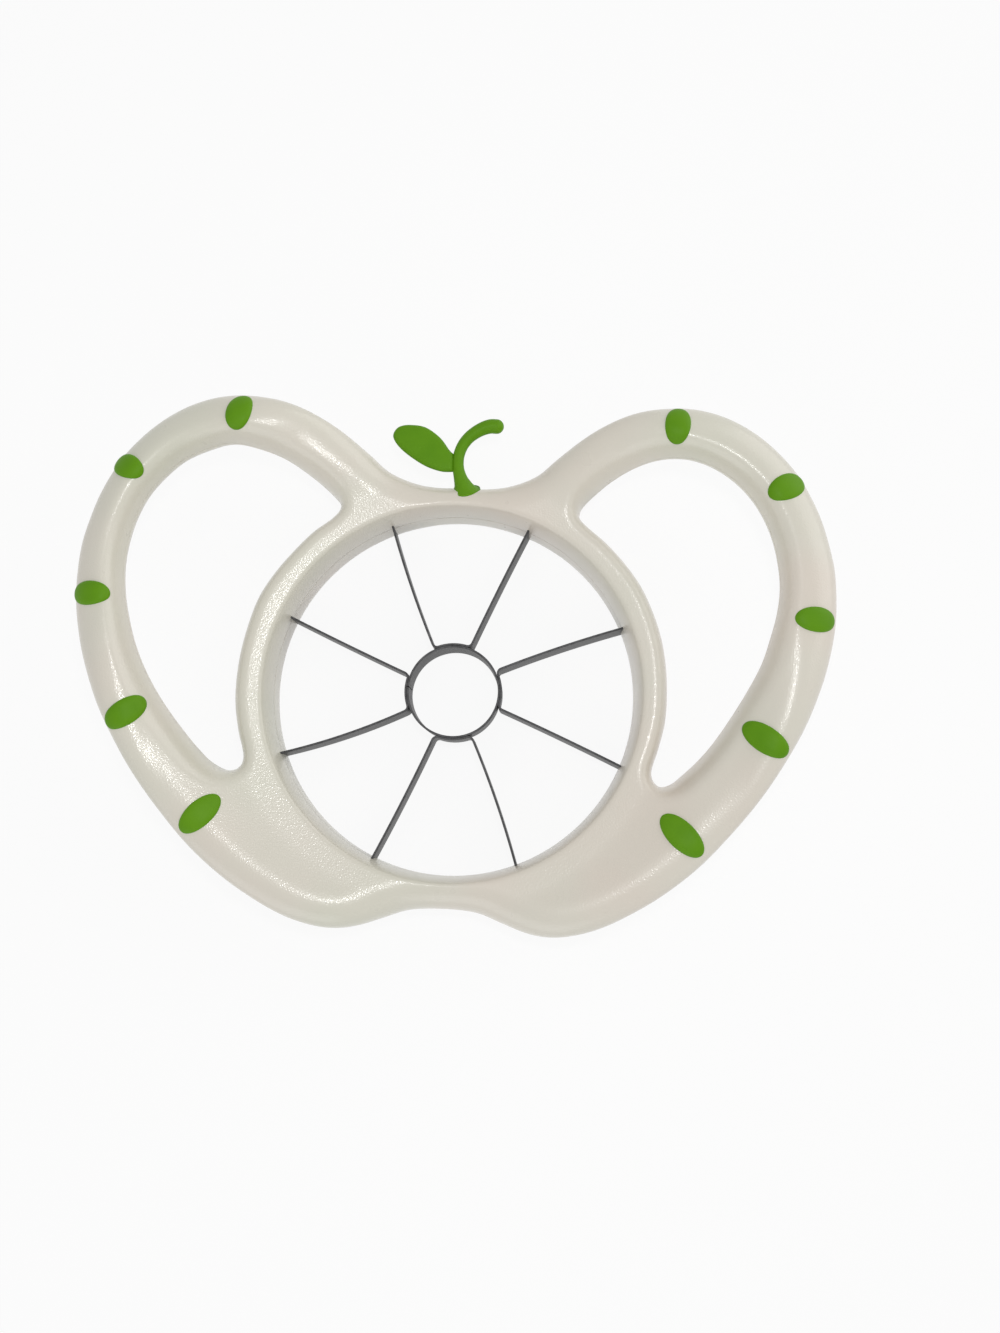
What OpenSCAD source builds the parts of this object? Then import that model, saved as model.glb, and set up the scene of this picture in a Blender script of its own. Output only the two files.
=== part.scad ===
// Press-down apple slicer: an apple-shaped two-shell frame with raised loop handles,
// a core ring and four bent blade strips, ten soft grip pads, and a stem with a leaf.
// The cutting ring's axis is vertical and the frame stands on the ring's underside.

/* [Ring] */
// Inside radius of the cutting ring
ring_bore_r = 43.8; // [42.5:0.1:44.5]
// Radial width of the cutting ring's wall
ring_w = 8; // [7.2:0.1:9.5]
// Height of the cutting ring
ring_h = 17; // [17:0.5:20]
// Radius of the ring's rounded inner lip
ring_lip_r = 3; // [1:0.25:3.5]
// Radius of the ring's rounded outer shoulder
ring_shoulder_r = 4; // [2:0.25:4.5]
// Radius of the ring's rounded inner foot
foot_round = 0.8; // [0.4:0.1:1]

/* [Handles] */
// Height of the handles' middle above the table
handle_z = 24; // [20:0.5:30]
// How far inside the ring's outer edge the body starts to rise
rise_inset = 1.8; // [0:0.2:4]
// Distance over which the body rises, away from the ring's axis
rise_run = 30; // [25:1:34]
// Thickness of the shells' walls
wall = 2.3; // [1.6:0.1:2.6]
// Squareness of the handles' cross-section, where 2 is an ellipse
section_power = 2.2; // [2:0.1:3]
// Gap left along the seam between the two shells
seam_gap = 0.1; // [0.04:0.02:0.2]
// Radius of the posts that locate the two shells
post_r = 1.6; // [1.2:0.1:2]
// Length of a post above the seam
post_l = 2; // [1:0.25:2.5]
// Fit gap between parts that slide into each other
fit_gap = 0.05; // [0.03:0.01:0.1]

/* [Blades] */
// Thickness of the steel strip
strip_t = 0.5; // [0.4:0.05:0.7]
// Height of the blades
blade_h = 10; // [9:0.5:12]
// Height of the cutting edges above the table
blade_z = 0.5; // [0.2:0.1:1]
// Inside radius of the core ring
core_r = 10.75; // [9:0.25:12.5]
// Radius of the bend between a blade and the core ring
bend_r = 1.2; // [0.8:0.1:2]
// Width of the open seam in the core ring
core_seam = 0.2; // [0.1:0.05:0.4]
// Direction of the core ring's seam, in degrees
core_seam_at = 176; // [165:1:195]
// Height of the tab at each blade's outer end
tab_h = 6; // [4:0.5:7]
// Height of the tabs above the blades' cutting edges
tab_z = 2.5; // [2.4:0.1:3]
// Radial width of the ring that holds the blade tabs
holder_w = 3.2; // [2.6:0.1:3.4]
// Height of the ring that holds the blade tabs
holder_h = 10; // [9:0.5:10.5]
// Thickness of the ring's wall inside the holder
liner_t = 2.5; // [2.2:0.1:2.6]
// Thickness of the floor under the holder
floor_t = 2.4; // [1.8:0.1:2.6]

/* [Grip pads] */
// How far a pad stands proud of the shell
pad_proud = 0.8; // [0.4:0.1:1.2]
// How deep a pad is let into the shell
pad_depth = 1.2; // [0.8:0.1:1.3]
// Radius of the stud under each pad
stud_r = 1.4; // [1:0.1:1.8]
// Length of the stud under each pad
stud_l = 2; // [1.2:0.1:2.6]

/* [Stem and leaf] */
// Height of the stem's middle above the table
stem_z = 14; // [13.8:0.1:14.4]
// Radius of the stem
stem_r = 1.4; // [1.1:0.1:1.8]
// Radius of the curl at the stem's top
curl_r = 8.8; // [7:0.2:10]
// Radius of the flared foot
flare_r = 3.9; // [3:0.1:4.2]
// Length of the flared foot
flare_l = 4; // [3:0.25:5]
// Length of the peg that plugs the stem into the shell
peg_l = 2.5; // [1.5:0.25:3]
// Half of the leaf's length
leaf_a = 8.6; // [7:0.2:10]
// Half of the leaf's width
leaf_b = 5; // [4:0.2:6]
// Thickness of the leaf
leaf_t = 2.2; // [1.6:0.1:2.8]

/* [Hidden] */
$fn = 72;

ivory = "ivory";
green = "yellowgreen";
steel = "silver";

ring_outer_r = ring_bore_r + ring_w;
rise_start_r = ring_outer_r - rise_inset;
rise_end_r = rise_start_r + rise_run;

// Stations along the middle of the right handle and lobe, from the top saddle to the bottom
// notch: x and y from the ring's axis, half of the width, half of the height.
stations = [
    [10.5, 47.4, 4.6, 8.2],
    [19, 49.2, 5.2, 7.6],
    [27.2, 52.2, 6.5, 7],
    [35.5, 57.6, 6, 6.5],
    [45, 60.8, 5.7, 6.25],
    [54.5, 60.9, 5.9, 6.25],
    [64, 57.2, 6, 6.25],
    [72.5, 50, 6.2, 6.25],
    [78.2, 40, 6.1, 6.25],
    [81, 29, 5.9, 6.25],
    [81, 17.5, 5.9, 6.25],
    [78, 5.5, 6.2, 6.25],
    [72.7, -6.3, 6.5, 6.3],
    [66.4, -16.6, 6.9, 6.5],
    [59.5, -25, 7.6, 6.9],
    [51.6, -32.9, 8.6, 7.4],
    [42.5, -40.3, 9.2, 7.9],
    [32.5, -46, 9.2, 8.2],
    [23.5, -48.4, 8, 8.3],
    [15, -48.2, 6, 8.3],
    [6, -47.4, 4, 8.3]
];
// Webs that round the ends of the handle openings: x, y, radius, half of the height.
webs = [
    [24.4, 46.4, 6.4, 6.4],
    [47.2, -26.2, 7, 6.8]
];
// Where the posts and the pads sit, as station numbers along the handle
post_at = [4.9, 6.2, 8.6, 11.2, 16.3];
pad_at = [4.5, 7.25, 9.95, 12.35, 14.8];
// Pad lengths across the handle and widths along it
pad_len = [8.9, 8.6, 8.8, 11, 11.6];
pad_wid = [5.6, 5.4, 5.6, 6.4, 6.4];

// Rows between two stations and points in a section, for the handles' outside and their hollow
outer_steps = 2;
hollow_steps = 1;
section_n = 16;
hollow_n = 10;
// How many stations short of each end the hollow stops
hollow_ends = 2.6;
// Half the height of the tool that cuts a pad's outline
pad_cut = 6;
pad_bar_n = 28;
pad_bar_l = 9;
small_n = 12;
last = len(stations) - 1;
mid_z = ring_h / 2;
spokes = 8;
// Longer than any part, for cutting tools
far = 120;
// How far the handles reach into the ring's wall short of its bore
ring_bite = 0.4;
// Thickness of the wall around a post's socket, and how much a post tapers at its tip
socket_wall = 1.4;
post_taper = 0.4;
post_tip_l = 0.5;
// Room under a stud
stud_room = 0.5;

// Rise of the seam surface at a distance from the ring's axis
function ease(t) = let (c = min(1, max(0, t))) c * c * (3 - 2 * c);
function seam_z(r) = mid_z + (handle_z - mid_z) * ease((r - rise_start_r) / (rise_end_r - rise_start_r));
function seam_slope(r) = (seam_z(r + 0.01) - seam_z(r - 0.01)) / 0.02;

// A station or web kept at its distance from the ring's outer edge: the first station lies inside it
saddle_inset = 3.25;
drawn_saddle_r = norm([stations[0][0], stations[0][1]]);
function moved(s) =
    let (r = norm([s[0], s[1]]), k = (r + ring_outer_r - saddle_inset - drawn_saddle_r) / r)
    [s[0] * k, s[1] * k, s[2], s[3]];

// Smooth curve through the stations, at station number t
function blend4(a, b, c, d, t) =
    0.5 * (2 * b + (c - a) * t + (2 * a - 5 * b + 4 * c - d) * t * t + (3 * b - a - 3 * c + d) * t * t * t);
function st(i) = moved(stations[min(last, max(0, i))]);
function along(t) =
    let (i = min(last - 1, floor(t)))
    blend4(st(i - 1), st(i), st(i + 1), st(i + 2), t - i);
function heading(t) =
    let (a = along(max(0, t - 0.02)), b = along(min(last, t + 0.02)))
    atan2(b[1] - a[1], b[0] - a[0]);

// One rounded section of the handle, thinned by an inset
function rounded(c) = sign(c) * pow(abs(c), 2 / section_power);
function section(t, n, inset) =
    let (s = along(t), h = heading(t))
    [for (j = [0:n - 1])
        let (
            a = 360 * j / n,
            u = (s[2] - inset) * rounded(cos(a)),
            x = s[0] - u * sin(h),
            y = s[1] + u * cos(h)
        )
        [x, y, seam_z(norm([x, y])) + (s[3] - inset) * rounded(sin(a))]];

// Skin through sections from station number t0 to t1
module loft(t0, t1, n, inset, steps) {
    rows = ceil((t1 - t0) * steps);
    points = [for (i = [0:rows]) each section(t0 + (t1 - t0) * i / rows, n, inset)];
    skin(points, rows, n);
}

// Closed skin over rows of n points each
module skin(points, rows, n) {
    sides = [for (i = [0:rows - 1]) for (j = [0:n - 1]) for (half = [0, 1])
        let (
            k = (j + 1) % n,
            p = i * n + j,
            q = i * n + k
        )
        half == 0 ? [p, q + n, q] : [p, p + n, q + n]];
    first = [[for (j = [0:n - 1]) j]];
    end = [[for (j = [n - 1:-1:0]) rows * n + j]];
    polyhedron(points, concat(sides, first, end), convexity = 6);
}

module both_sides() {
    children();
    mirror([1, 0, 0]) children();
}

module ring_section() {
    hull() {
        translate([ring_bore_r + ring_lip_r, ring_h - ring_lip_r]) circle(ring_lip_r, $fn = 16);
        translate([ring_outer_r - ring_shoulder_r, ring_h - ring_shoulder_r]) circle(ring_shoulder_r, $fn = 16);
        translate([ring_bore_r + foot_round, foot_round]) circle(foot_round, $fn = 8);
        translate([ring_outer_r - 3 * foot_round, 3 * foot_round]) circle(3 * foot_round, $fn = 12);
    }
}

module web(w) {
    hull()
        translate([w[0], w[1], seam_z(norm([w[0], w[1]]))])
            scale([w[2], w[2], w[3]]) sphere(1, $fn = 16);
}

// Outer form of the whole frame
module frame_solid() {
    rotate_extrude() ring_section();
    difference() {
        both_sides() {
            loft(0, last, section_n, 0, outer_steps);
            for (w = webs) web(moved(w));
        }
        translate([0, 0, -1]) cylinder(r = ring_bore_r + ring_bite, h = far);
    }
}

// Channel for the blade holder, slots for the blade tabs and the hollow of the handles
module frame_hollows() {
    translate([0, 0, floor_t]) {
        difference() {
            cylinder(r = (holder_outer_r + fit_gap) / cos(180 / $fn), h = holder_h + fit_gap);
            translate([0, 0, -1]) cylinder(r = holder_inner_r - fit_gap, h = holder_h + 3);
        }
    }
    for (i = [0:spokes - 1]) {
        rotate([0, 0, (i + 0.5) * 360 / spokes])
            translate([ring_bore_r - 1, -strip_t / 2 - fit_gap, tab_bottom - fit_gap])
                cube([liner_t + 2, strip_t + 2 * fit_gap, tab_h + 2 * fit_gap]);
    }
    difference() {
        both_sides() loft(hollow_ends, last - hollow_ends, hollow_n, wall, hollow_steps);
        translate([0, 0, -1]) cylinder(r = holder_outer_r + wall, h = far);
    }
}

// Everything below the seam surface, raised by a lift
module below_seam(lift) {
    rotate_extrude($fn = 36)
        polygon(concat(
            [[0, -far]],
            [for (r = [0, each [rise_start_r:5:rise_end_r + 2], far]) [r, seam_z(r) + lift]],
            [[far, -far]]
        ));
}

holder_inner_r = ring_bore_r + liner_t;
holder_outer_r = holder_inner_r + holder_w;
tab_bottom = blade_z + tab_z;

// How far below a shell's outer surface the posts and their sockets end, inside its wall
wall_reach = wall - 0.3;

// Places its children on the handle's centre line at station number t, at the seam's height
module at_station(t) {
    s = along(t);
    translate([s[0], s[1], seam_z(norm([s[0], s[1]]))]) children();
}

module posts() {
    both_sides() for (t = post_at) {
        s = along(t);
        at_station(t) hull() {
            translate([0, 0, wall_reach - s[3]])
                cylinder(r = post_r, h = s[3] - wall_reach + post_l - post_tip_l, $fn = small_n);
            translate([0, 0, post_l - post_tip_l])
                cylinder(r1 = post_r, r2 = post_r - post_taper, h = post_tip_l, $fn = small_n);
        }
    }
}

module sockets() {
    both_sides() for (t = post_at) {
        s = along(t);
        at_station(t) difference() {
            hull() cylinder(r = post_r + socket_wall, h = s[3] - wall_reach, $fn = small_n);
            translate([0, 0, -1]) cylinder(r = post_r + fit_gap, h = post_l + 1 + fit_gap, $fn = small_n);
        }
    }
}

// Frame of a grip pad: the shell's top surface is at the origin, x runs across the handle
module at_pad(k) {
    t = pad_at[k];
    s = along(t);
    r = norm([s[0], s[1]]);
    tilt = atan(seam_slope(r));
    translate([s[0], s[1], seam_z(r) + s[3]])
        rotate(tilt, v = [s[1], -s[0], 0])
            rotate([0, 0, heading(t) + 90])
                children();
}

function pad_curve(k) = let (s = along(pad_at[k])) s[2] * s[2] / s[3];

module pad_oval(k, grow) {
    half_l = pad_len[k] / 2 + grow;
    half_w = pad_wid[k] / 2 + grow;
    translate([0, 0, -pad_cut])
        linear_extrude(2 * pad_cut)
            polygon([for (a = [0:15:345]) [half_l * cos(a), half_w * sin(a)]]);
}

// Round bar along the handle that touches the shell's top surface, grown by a step
module pad_bar(k, grow) {
    r = pad_curve(k);
    translate([0, 0, -r]) rotate([90, 0, 0]) cylinder(r = r + grow, h = pad_bar_l, center = true, $fn = pad_bar_n);
}

module pad_pockets() {
    both_sides() for (k = [0:len(pad_at) - 1]) at_pad(k) {
        difference() {
            pad_oval(k, fit_gap);
            pad_bar(k, -pad_depth - fit_gap);
        }
        translate([0, 0, -pad_depth - stud_l - stud_room])
            cylinder(r = stud_r + fit_gap, h = stud_l + 2 * stud_room, $fn = small_n * 2);
    }
}

// The stem: a peg and a flared foot in the ring's shoulder, a stalk, and a curl with a round end
curl_x = 7.5;
curl_rise = 5.9;
curl_y = ring_outer_r + curl_rise;
curl_from = 175;
curl_sweep = 88;
foot_x = 0.4;
foot_inset = 3.2;
foot_y = ring_outer_r - foot_inset;
joint_x = curl_x + curl_r * cos(curl_from);
joint_y = curl_y + curl_r * sin(curl_from);
stalk_l = norm([joint_x - foot_x, joint_y - foot_y]);
stalk_turn = atan2(joint_y - foot_y, joint_x - foot_x);
tip_r = stem_r * 1.2;
tip_at = curl_from - curl_sweep;

function stalk_point(s, r) = [foot_x + s * cos(stalk_turn), foot_y + s * sin(stalk_turn), stalk_turn, r];
function curl_point(a, r) = [curl_x + curl_r * cos(a), curl_y + curl_r * sin(a), a - 90, r];
function flare(s) = stem_r + (flare_r - stem_r) * pow(max(0, 1 - s / flare_l), 2);
function tip_point(a) =
    let (p = curl_point(tip_at, 0))
    [p[0] + tip_r * sin(a) * cos(p[2]), p[1] + tip_r * sin(a) * sin(p[2]), p[2], tip_r * cos(a)];
foot_path = concat(
    [stalk_point(-peg_l, stem_r - 0.2), stalk_point(-0.01, stem_r - 0.2)],
    [for (s = [0:flare_l / 6:flare_l * 1.01]) stalk_point(s, flare(s))]
);
stem_path = concat(
    foot_path,
    [for (a = [0:8:curl_sweep]) curl_point(curl_from - a, stem_r + (tip_r - stem_r) * ease(a / curl_sweep))],
    [for (a = [15:15:75]) tip_point(a)]
);

// Round tube through points that give x, y, heading and radius
module tube(path, n, grow) {
    rows = len(path) - 1;
    points = [for (p = path) for (j = [0:n - 1])
        let (a = 360 * j / n, u = (p[3] + grow) * cos(a))
        [p[0] - u * sin(p[2]), p[1] + u * cos(p[2]), stem_z + (p[3] + grow) * sin(a)]];
    skin(points, rows, n);
}

// Middle of the whole part along y, which is placed at the origin
top_y = curl_y + curl_r + tip_r;
bottom_y = min([for (i = [0:120]) let (t = last * i / 120, s = along(t), h = heading(t))
    s[1] - s[2] * abs(cos(h))]);
middle_y = (top_y + bottom_y) / 2;

module placed() {
    translate([0, -middle_y, 0]) children();
}

module upper_shell() {
    color(ivory) placed() difference() {
        union() {
            difference() {
                frame_solid();
                frame_hollows();
            }
            sockets();
        }
        below_seam(seam_gap / 2);
        pad_pockets();
        tube(foot_path, 20, fit_gap);
    }
}

module lower_shell() {
    color(ivory) placed() {
        intersection() {
            difference() {
                frame_solid();
                frame_hollows();
            }
            below_seam(-seam_gap / 2);
        }
        posts();
    }
}

module blade_holder() {
    color("whitesmoke") placed() difference() {
        translate([0, 0, floor_t]) cylinder(r = holder_outer_r, h = holder_h);
        cylinder(r = holder_inner_r, h = far);
        for (i = [0:spokes - 1]) {
            rotate([0, 0, (i + 0.5) * 360 / spokes])
                translate([holder_inner_r - 1, -strip_t / 2 - fit_gap, tab_bottom - fit_gap])
                    cube([holder_w + 2, strip_t + 2 * fit_gap, tab_h + 2 * fit_gap]);
        }
    }
}

module core_ring() {
    color(steel) placed() translate([0, 0, blade_z]) difference() {
        cylinder(r = core_r + strip_t, h = blade_h);
        translate([0, 0, -1]) cylinder(r = core_r, h = blade_h + 2);
        rotate([0, 0, core_seam_at])
            translate([core_r - 1, -core_seam / 2, -1]) cube([strip_t + 2, core_seam, blade_h + 2]);
    }
}

// Bent strip: two blades 45 degrees apart, joined by an arc that hugs the core ring
weld_gap = 0.02;
hug_r = core_r + strip_t + weld_gap;
hug_mid = hug_r + strip_t / 2;
bend_turn = asin(bend_r / (hug_mid + bend_r));
bend_end_r = (hug_mid + bend_r) * cos(bend_turn);
spoke_end_r = ring_bore_r - fit_gap;
tab_end_r = holder_inner_r + holder_w - 0.8;

// Middle line of half a strip, from the core ring's side out to the spoke's end
half_angle = 180 / spokes;
half_hug = half_angle - bend_turn;
function polar(r, a) = [r * cos(a), r * sin(a)];
bend_centre = polar(hug_mid + bend_r, half_hug);
half_line = concat(
    [for (i = [1:4]) let (a = half_hug * i / 4) [polar(hug_mid, a), a + 90]],
    [for (i = [1:6]) let (a = half_hug + 180 - (90 - bend_turn) * i / 6)
        [bend_centre + polar(bend_r, a), a - 90]],
    [[polar(spoke_end_r, half_angle), half_angle]]
);

// Outline of the whole strip, at a distance to the left of its middle line
function beside(d) = concat(
    [for (i = [len(half_line) - 1:-1:0]) let (p = half_line[i][0] + polar(d, half_line[i][1] + 90)) [p[0], -p[1]]],
    [[hug_mid - d, 0]],
    [for (h = half_line) h[0] + polar(d, h[1] + 90)]
);
function reversed(list) = [for (i = [len(list) - 1:-1:0]) list[i]];

module blade_strip(facing) {
    color(steel) placed() rotate([0, 0, facing]) translate([0, 0, blade_z]) {
        linear_extrude(blade_h) polygon(concat(beside(strip_t / 2), reversed(beside(-strip_t / 2))));
        for (side = [-1, 1]) rotate([0, 0, side * half_angle])
            translate([spoke_end_r - 1, -strip_t / 2, tab_z]) cube([tab_end_r - spoke_end_r + 1, strip_t, tab_h]);
    }
}

module grip(k, side) {
    color(green) placed() mirror([side, 0, 0]) at_pad(k) {
        difference() {
            intersection() {
                pad_oval(k, 0);
                pad_bar(k, pad_proud);
            }
            pad_bar(k, -pad_depth);
        }
        translate([0, 0, -pad_depth - stud_l]) cylinder(r = stud_r, h = stud_l + stud_room);
    }
}

module stem() {
    color(green) placed() tube(stem_path, 20, 0);
}

// Middle of the leaf, how far it is turned, and how much its edge is bevelled
leaf_reach = 8.533;
leaf_rise = 7.7;
leaf_x = joint_x - leaf_reach;
leaf_y = ring_outer_r + leaf_rise;
leaf_turn = -22;
leaf_bevel = 0.6;

module leaf() {
    color(green) placed() difference() {
        translate([leaf_x, leaf_y, stem_z - leaf_t / 2]) rotate([0, 0, leaf_turn]) hull() {
            scale([leaf_a - leaf_bevel, leaf_b - leaf_bevel, 1]) cylinder(r = 1, h = leaf_t, $fn = 48);
            translate([0, 0, leaf_t * 0.3]) scale([leaf_a, leaf_b, 1]) cylinder(r = 1, h = leaf_t * 0.4, $fn = 48);
        }
        translate([joint_x - stem_r - fit_gap, 0, 0]) cube(far);
    }
}

upper_shell();
lower_shell();
blade_holder();
core_ring();
blade_strip(90);  // blade_top
blade_strip(0);  // blade_right
blade_strip(270);  // blade_bottom
blade_strip(180);  // blade_left
grip(0, 0);  // grip_right_1
grip(1, 0);  // grip_right_2
grip(2, 0);  // grip_right_3
grip(3, 0);  // grip_right_4
grip(4, 0);  // grip_right_5
grip(0, 1);  // grip_left_1
grip(1, 1);  // grip_left_2
grip(2, 1);  // grip_left_3
grip(3, 1);  // grip_left_4
grip(4, 1);  // grip_left_5
stem();
leaf();
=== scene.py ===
import math

import bmesh
import bpy
import numpy as np
from mathutils import Matrix, Vector
from mathutils.geometry import delaunay_2d_cdt


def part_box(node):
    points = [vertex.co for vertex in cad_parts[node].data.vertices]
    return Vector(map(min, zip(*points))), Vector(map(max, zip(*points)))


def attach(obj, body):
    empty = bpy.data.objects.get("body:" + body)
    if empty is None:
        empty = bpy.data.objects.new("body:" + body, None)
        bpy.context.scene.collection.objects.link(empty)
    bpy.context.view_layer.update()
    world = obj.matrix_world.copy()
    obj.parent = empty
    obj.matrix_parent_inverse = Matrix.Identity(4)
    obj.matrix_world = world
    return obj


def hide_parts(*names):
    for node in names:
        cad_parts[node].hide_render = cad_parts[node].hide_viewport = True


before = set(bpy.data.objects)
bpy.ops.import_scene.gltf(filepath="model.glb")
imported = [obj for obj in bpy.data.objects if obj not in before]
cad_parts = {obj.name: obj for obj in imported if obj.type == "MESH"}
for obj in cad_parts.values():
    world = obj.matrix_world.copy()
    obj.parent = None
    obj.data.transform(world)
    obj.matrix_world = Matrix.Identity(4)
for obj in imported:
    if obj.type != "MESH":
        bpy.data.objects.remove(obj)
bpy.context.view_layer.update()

# Lengths below are millimetres from the cutting ring's axis, at the height of its foot.
# to_world() turns them into metres in the shared frame.
MM = 0.001
# Keeps a division by nought away
TINY = 1e-9


def ring_centre():
    low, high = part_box("core_ring")
    return np.array([(low.x + high.x) / 2, (low.y + high.y) / 2, 0.0])


RING_AT = ring_centre()


def to_world(points):
    return np.asarray(points, float) * MM + RING_AT


# Outlines of the frame seen from above, as points on smooth curves. The outside is given for
# the right half. The handles' openings differ a little, so each has its own, with x outwards.

BORE_R = 43.8
OUTER = [
    (0, 50.7), (6, 50.6), (11.8, 51.4), (18, 53.6), (22.9, 57.1), (28.9, 60.9), (34.5, 63.5), (40.4, 65.4),
    (46.5, 66.5), (52.5, 66.8), (58, 66), (63, 64.3), (67.6, 61.8), (71.6, 58.8), (75.3, 55.2), (78.6, 51.1),
    (81.3, 46.4), (83.6, 41.2), (85.3, 35.6), (86.6, 29.6), (87, 23.3), (86.8, 17), (85.8, 10.6),
    (83.8, 3), (80.3, -6), (76.1, -14), (71, -22.3), (64.9, -30.4), (57.6, -38.6), (49.6, -45.4),
    (41.5, -50.6), (34.9, -53.8), (28.6, -55.6), (23.5, -56), (18.8, -55.3), (13.8, -53.7), (7.6, -51.7),
    (0, -51.2),
]
OPENING_RIGHT = [
    (30, 47.2), (32.6, 49.6), (36.8, 52.4), (42, 54.6), (47.7, 55.7), (53.8, 55.3), (59.5, 53.3),
    (64.4, 50), (68.2, 46), (71, 41.4), (73, 36.4), (74.2, 31), (74.7, 25.4), (74.2, 19.6),
    (72.9, 13.7), (71.2, 7.7), (68.5, 1.7), (65.3, -4.3), (61.7, -10.2), (58.3, -14.6), (55.3, -17.7),
    (52.4, -20.2), (49.4, -20.7), (47.8, -17.8), (49.4, -12), (50.8, -6), (51.2, 0), (50.9, 7),
    (49.7, 14.1), (47.5, 20.7), (44.5, 26.9), (40.4, 32.5), (35.8, 37.4), (31.5, 41), (29.3, 43.3),
    (29.2, 45.4),
]
# Mirrored before use
OPENING_LEFT = [
    (30.8, 46.5), (33.4, 48.8), (37.4, 51.4), (42.4, 53.8), (47.8, 55.1), (54, 55.6), (59.8, 53.8),
    (65.2, 51), (69.4, 47), (72.8, 42.4), (75.1, 37.2), (76.5, 31.4), (77, 25.5), (76.5, 19.5),
    (75.3, 13.5), (73.5, 7), (70.9, 0.6), (67.5, -5.6), (63.5, -11.4), (59.9, -15.9), (56.6, -19.2),
    (52.9, -21), (49.8, -20.2), (49, -17.6), (50.6, -12), (51.8, -6), (52.1, 0), (51.6, 7),
    (50.2, 14.2), (48.1, 20.9), (44.7, 27), (40.5, 32.6), (36, 37.6), (31.7, 41.1), (29.8, 43.4),
    (30, 45.3),
]
OUTER_SPAN_POINTS = 10
OPENING_SPAN_POINTS = 8

# Height of the middle surface, half of the thickness, widths of the rounded edges and the power
# that makes the section rounder or squarer
SEAM_LOW = 8.5
SEAM_HIGH = 24.0
RISE_FROM = 50.0
RISE_RUN = 30.0
HALF_RING = 8.45
HALF_HANDLE = 6.2
THIN_FROM = 50.0
THIN_RUN = 22.0
EDGE_OUTER = 8.5
EDGE_OPENING = 4.2
EDGE_OPENING_UNDER = 9.0
EDGE_BORE = 1.6
EDGE_FOOT = 1.0
SQUARENESS = 2.2
LIP_SQUARENESS = 2.5
# The ring's lip lies lower by the drop, and the top slopes up from it. Both fade out farther away.
LIP_DROP = 0.9
TOP_SLOPE = 0.26
SLOPE_ENDS_FROM = 50.0
SLOPE_ENDS_RUN = 20.0


def smooth_step(t):
    t = np.clip(t, 0.0, 1.0)
    return t * t * (3 - 2 * t)


def seam_height(r):
    return SEAM_LOW + (SEAM_HIGH - SEAM_LOW) * smooth_step((r - RISE_FROM) / RISE_RUN)


def half_height(r):
    return HALF_RING - (HALF_RING - HALF_HANDLE) * smooth_step((r - THIN_FROM) / THIN_RUN)


def top_lift(r):
    """How much higher the top lies than half of the thickness above the middle surface."""
    ends = smooth_step((r - SLOPE_ENDS_FROM) / SLOPE_ENDS_RUN)
    return (TOP_SLOPE * (r - BORE_R) - LIP_DROP) * (1 - ends)


def smooth_curve(points, per_span, closed):
    """Points along a Catmull-Rom curve through the given points."""
    p = np.asarray(points, float)
    n = len(p)
    spans = n if closed else n - 1
    t = np.linspace(0, 1, per_span, endpoint=False)[:, None]
    out = []
    for i in range(spans):
        if closed:
            a, b, c, d = p[i - 1], p[i], p[(i + 1) % n], p[(i + 2) % n]
        else:
            a, b, c, d = p[max(i - 1, 0)], p[i], p[i + 1], p[min(i + 2, n - 1)]
        out.append(0.5 * (2 * b + (c - a) * t + (2 * a - 5 * b + 4 * c - d) * t**2
                          + (3 * b - a - 3 * c + d) * t**3))
    if not closed:
        out.append(p[-1:])
    return np.concatenate(out)


def mirrored(points):
    return [(-x, y) for x, y in points]


def outer_curve():
    return smooth_curve(OUTER + mirrored(OUTER[-2:0:-1]), OUTER_SPAN_POINTS, closed=True)


def opening_curves():
    both = (OPENING_RIGHT, mirrored(OPENING_LEFT))
    return [smooth_curve(points, OPENING_SPAN_POINTS, closed=True) for points in both]


def signed_distance(points, curve):
    """Distance from each point to a closed curve, positive inside it."""
    batch = 2000
    a = curve
    b = np.roll(curve, -1, axis=0)
    ab = b - a
    length2 = (ab**2).sum(1)
    dy = np.where(ab[:, 1] == 0, TINY, ab[:, 1])
    out = np.empty(len(points))
    for start in range(0, len(points), batch):
        p = points[start:start + batch, None, :]
        ap = p - a[None]
        t = np.clip((ap * ab[None]).sum(2) / length2, 0, 1)
        gap = ap - t[..., None] * ab[None]
        near = np.sqrt((gap**2).sum(2).min(1))
        crossed = (a[None, :, 1] > p[..., 1]) != (b[None, :, 1] > p[..., 1])
        cross_x = a[:, 0] + (p[..., 1] - a[None, :, 1]) * (ab[:, 0] / dy)[None]
        hits = (crossed & (p[..., 0] < cross_x)).sum(1)
        out[start:start + batch] = np.where(hits % 2 == 1, near, -near)
    return out


# Grid that the surface is found on: its step, the steps to each side in x, and where its rows and
# its layers start and how many there are
GRID = 0.6
GRID_HALF = 151
GRID_Y0 = -60.0
GRID_NY = 218
GRID_Z0 = -1.3
GRID_NZ = 56


def plan_axes():
    xs = np.arange(-GRID_HALF, GRID_HALF + 1) * GRID
    ys = GRID_Y0 + np.arange(GRID_NY) * GRID
    return xs, ys


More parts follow.
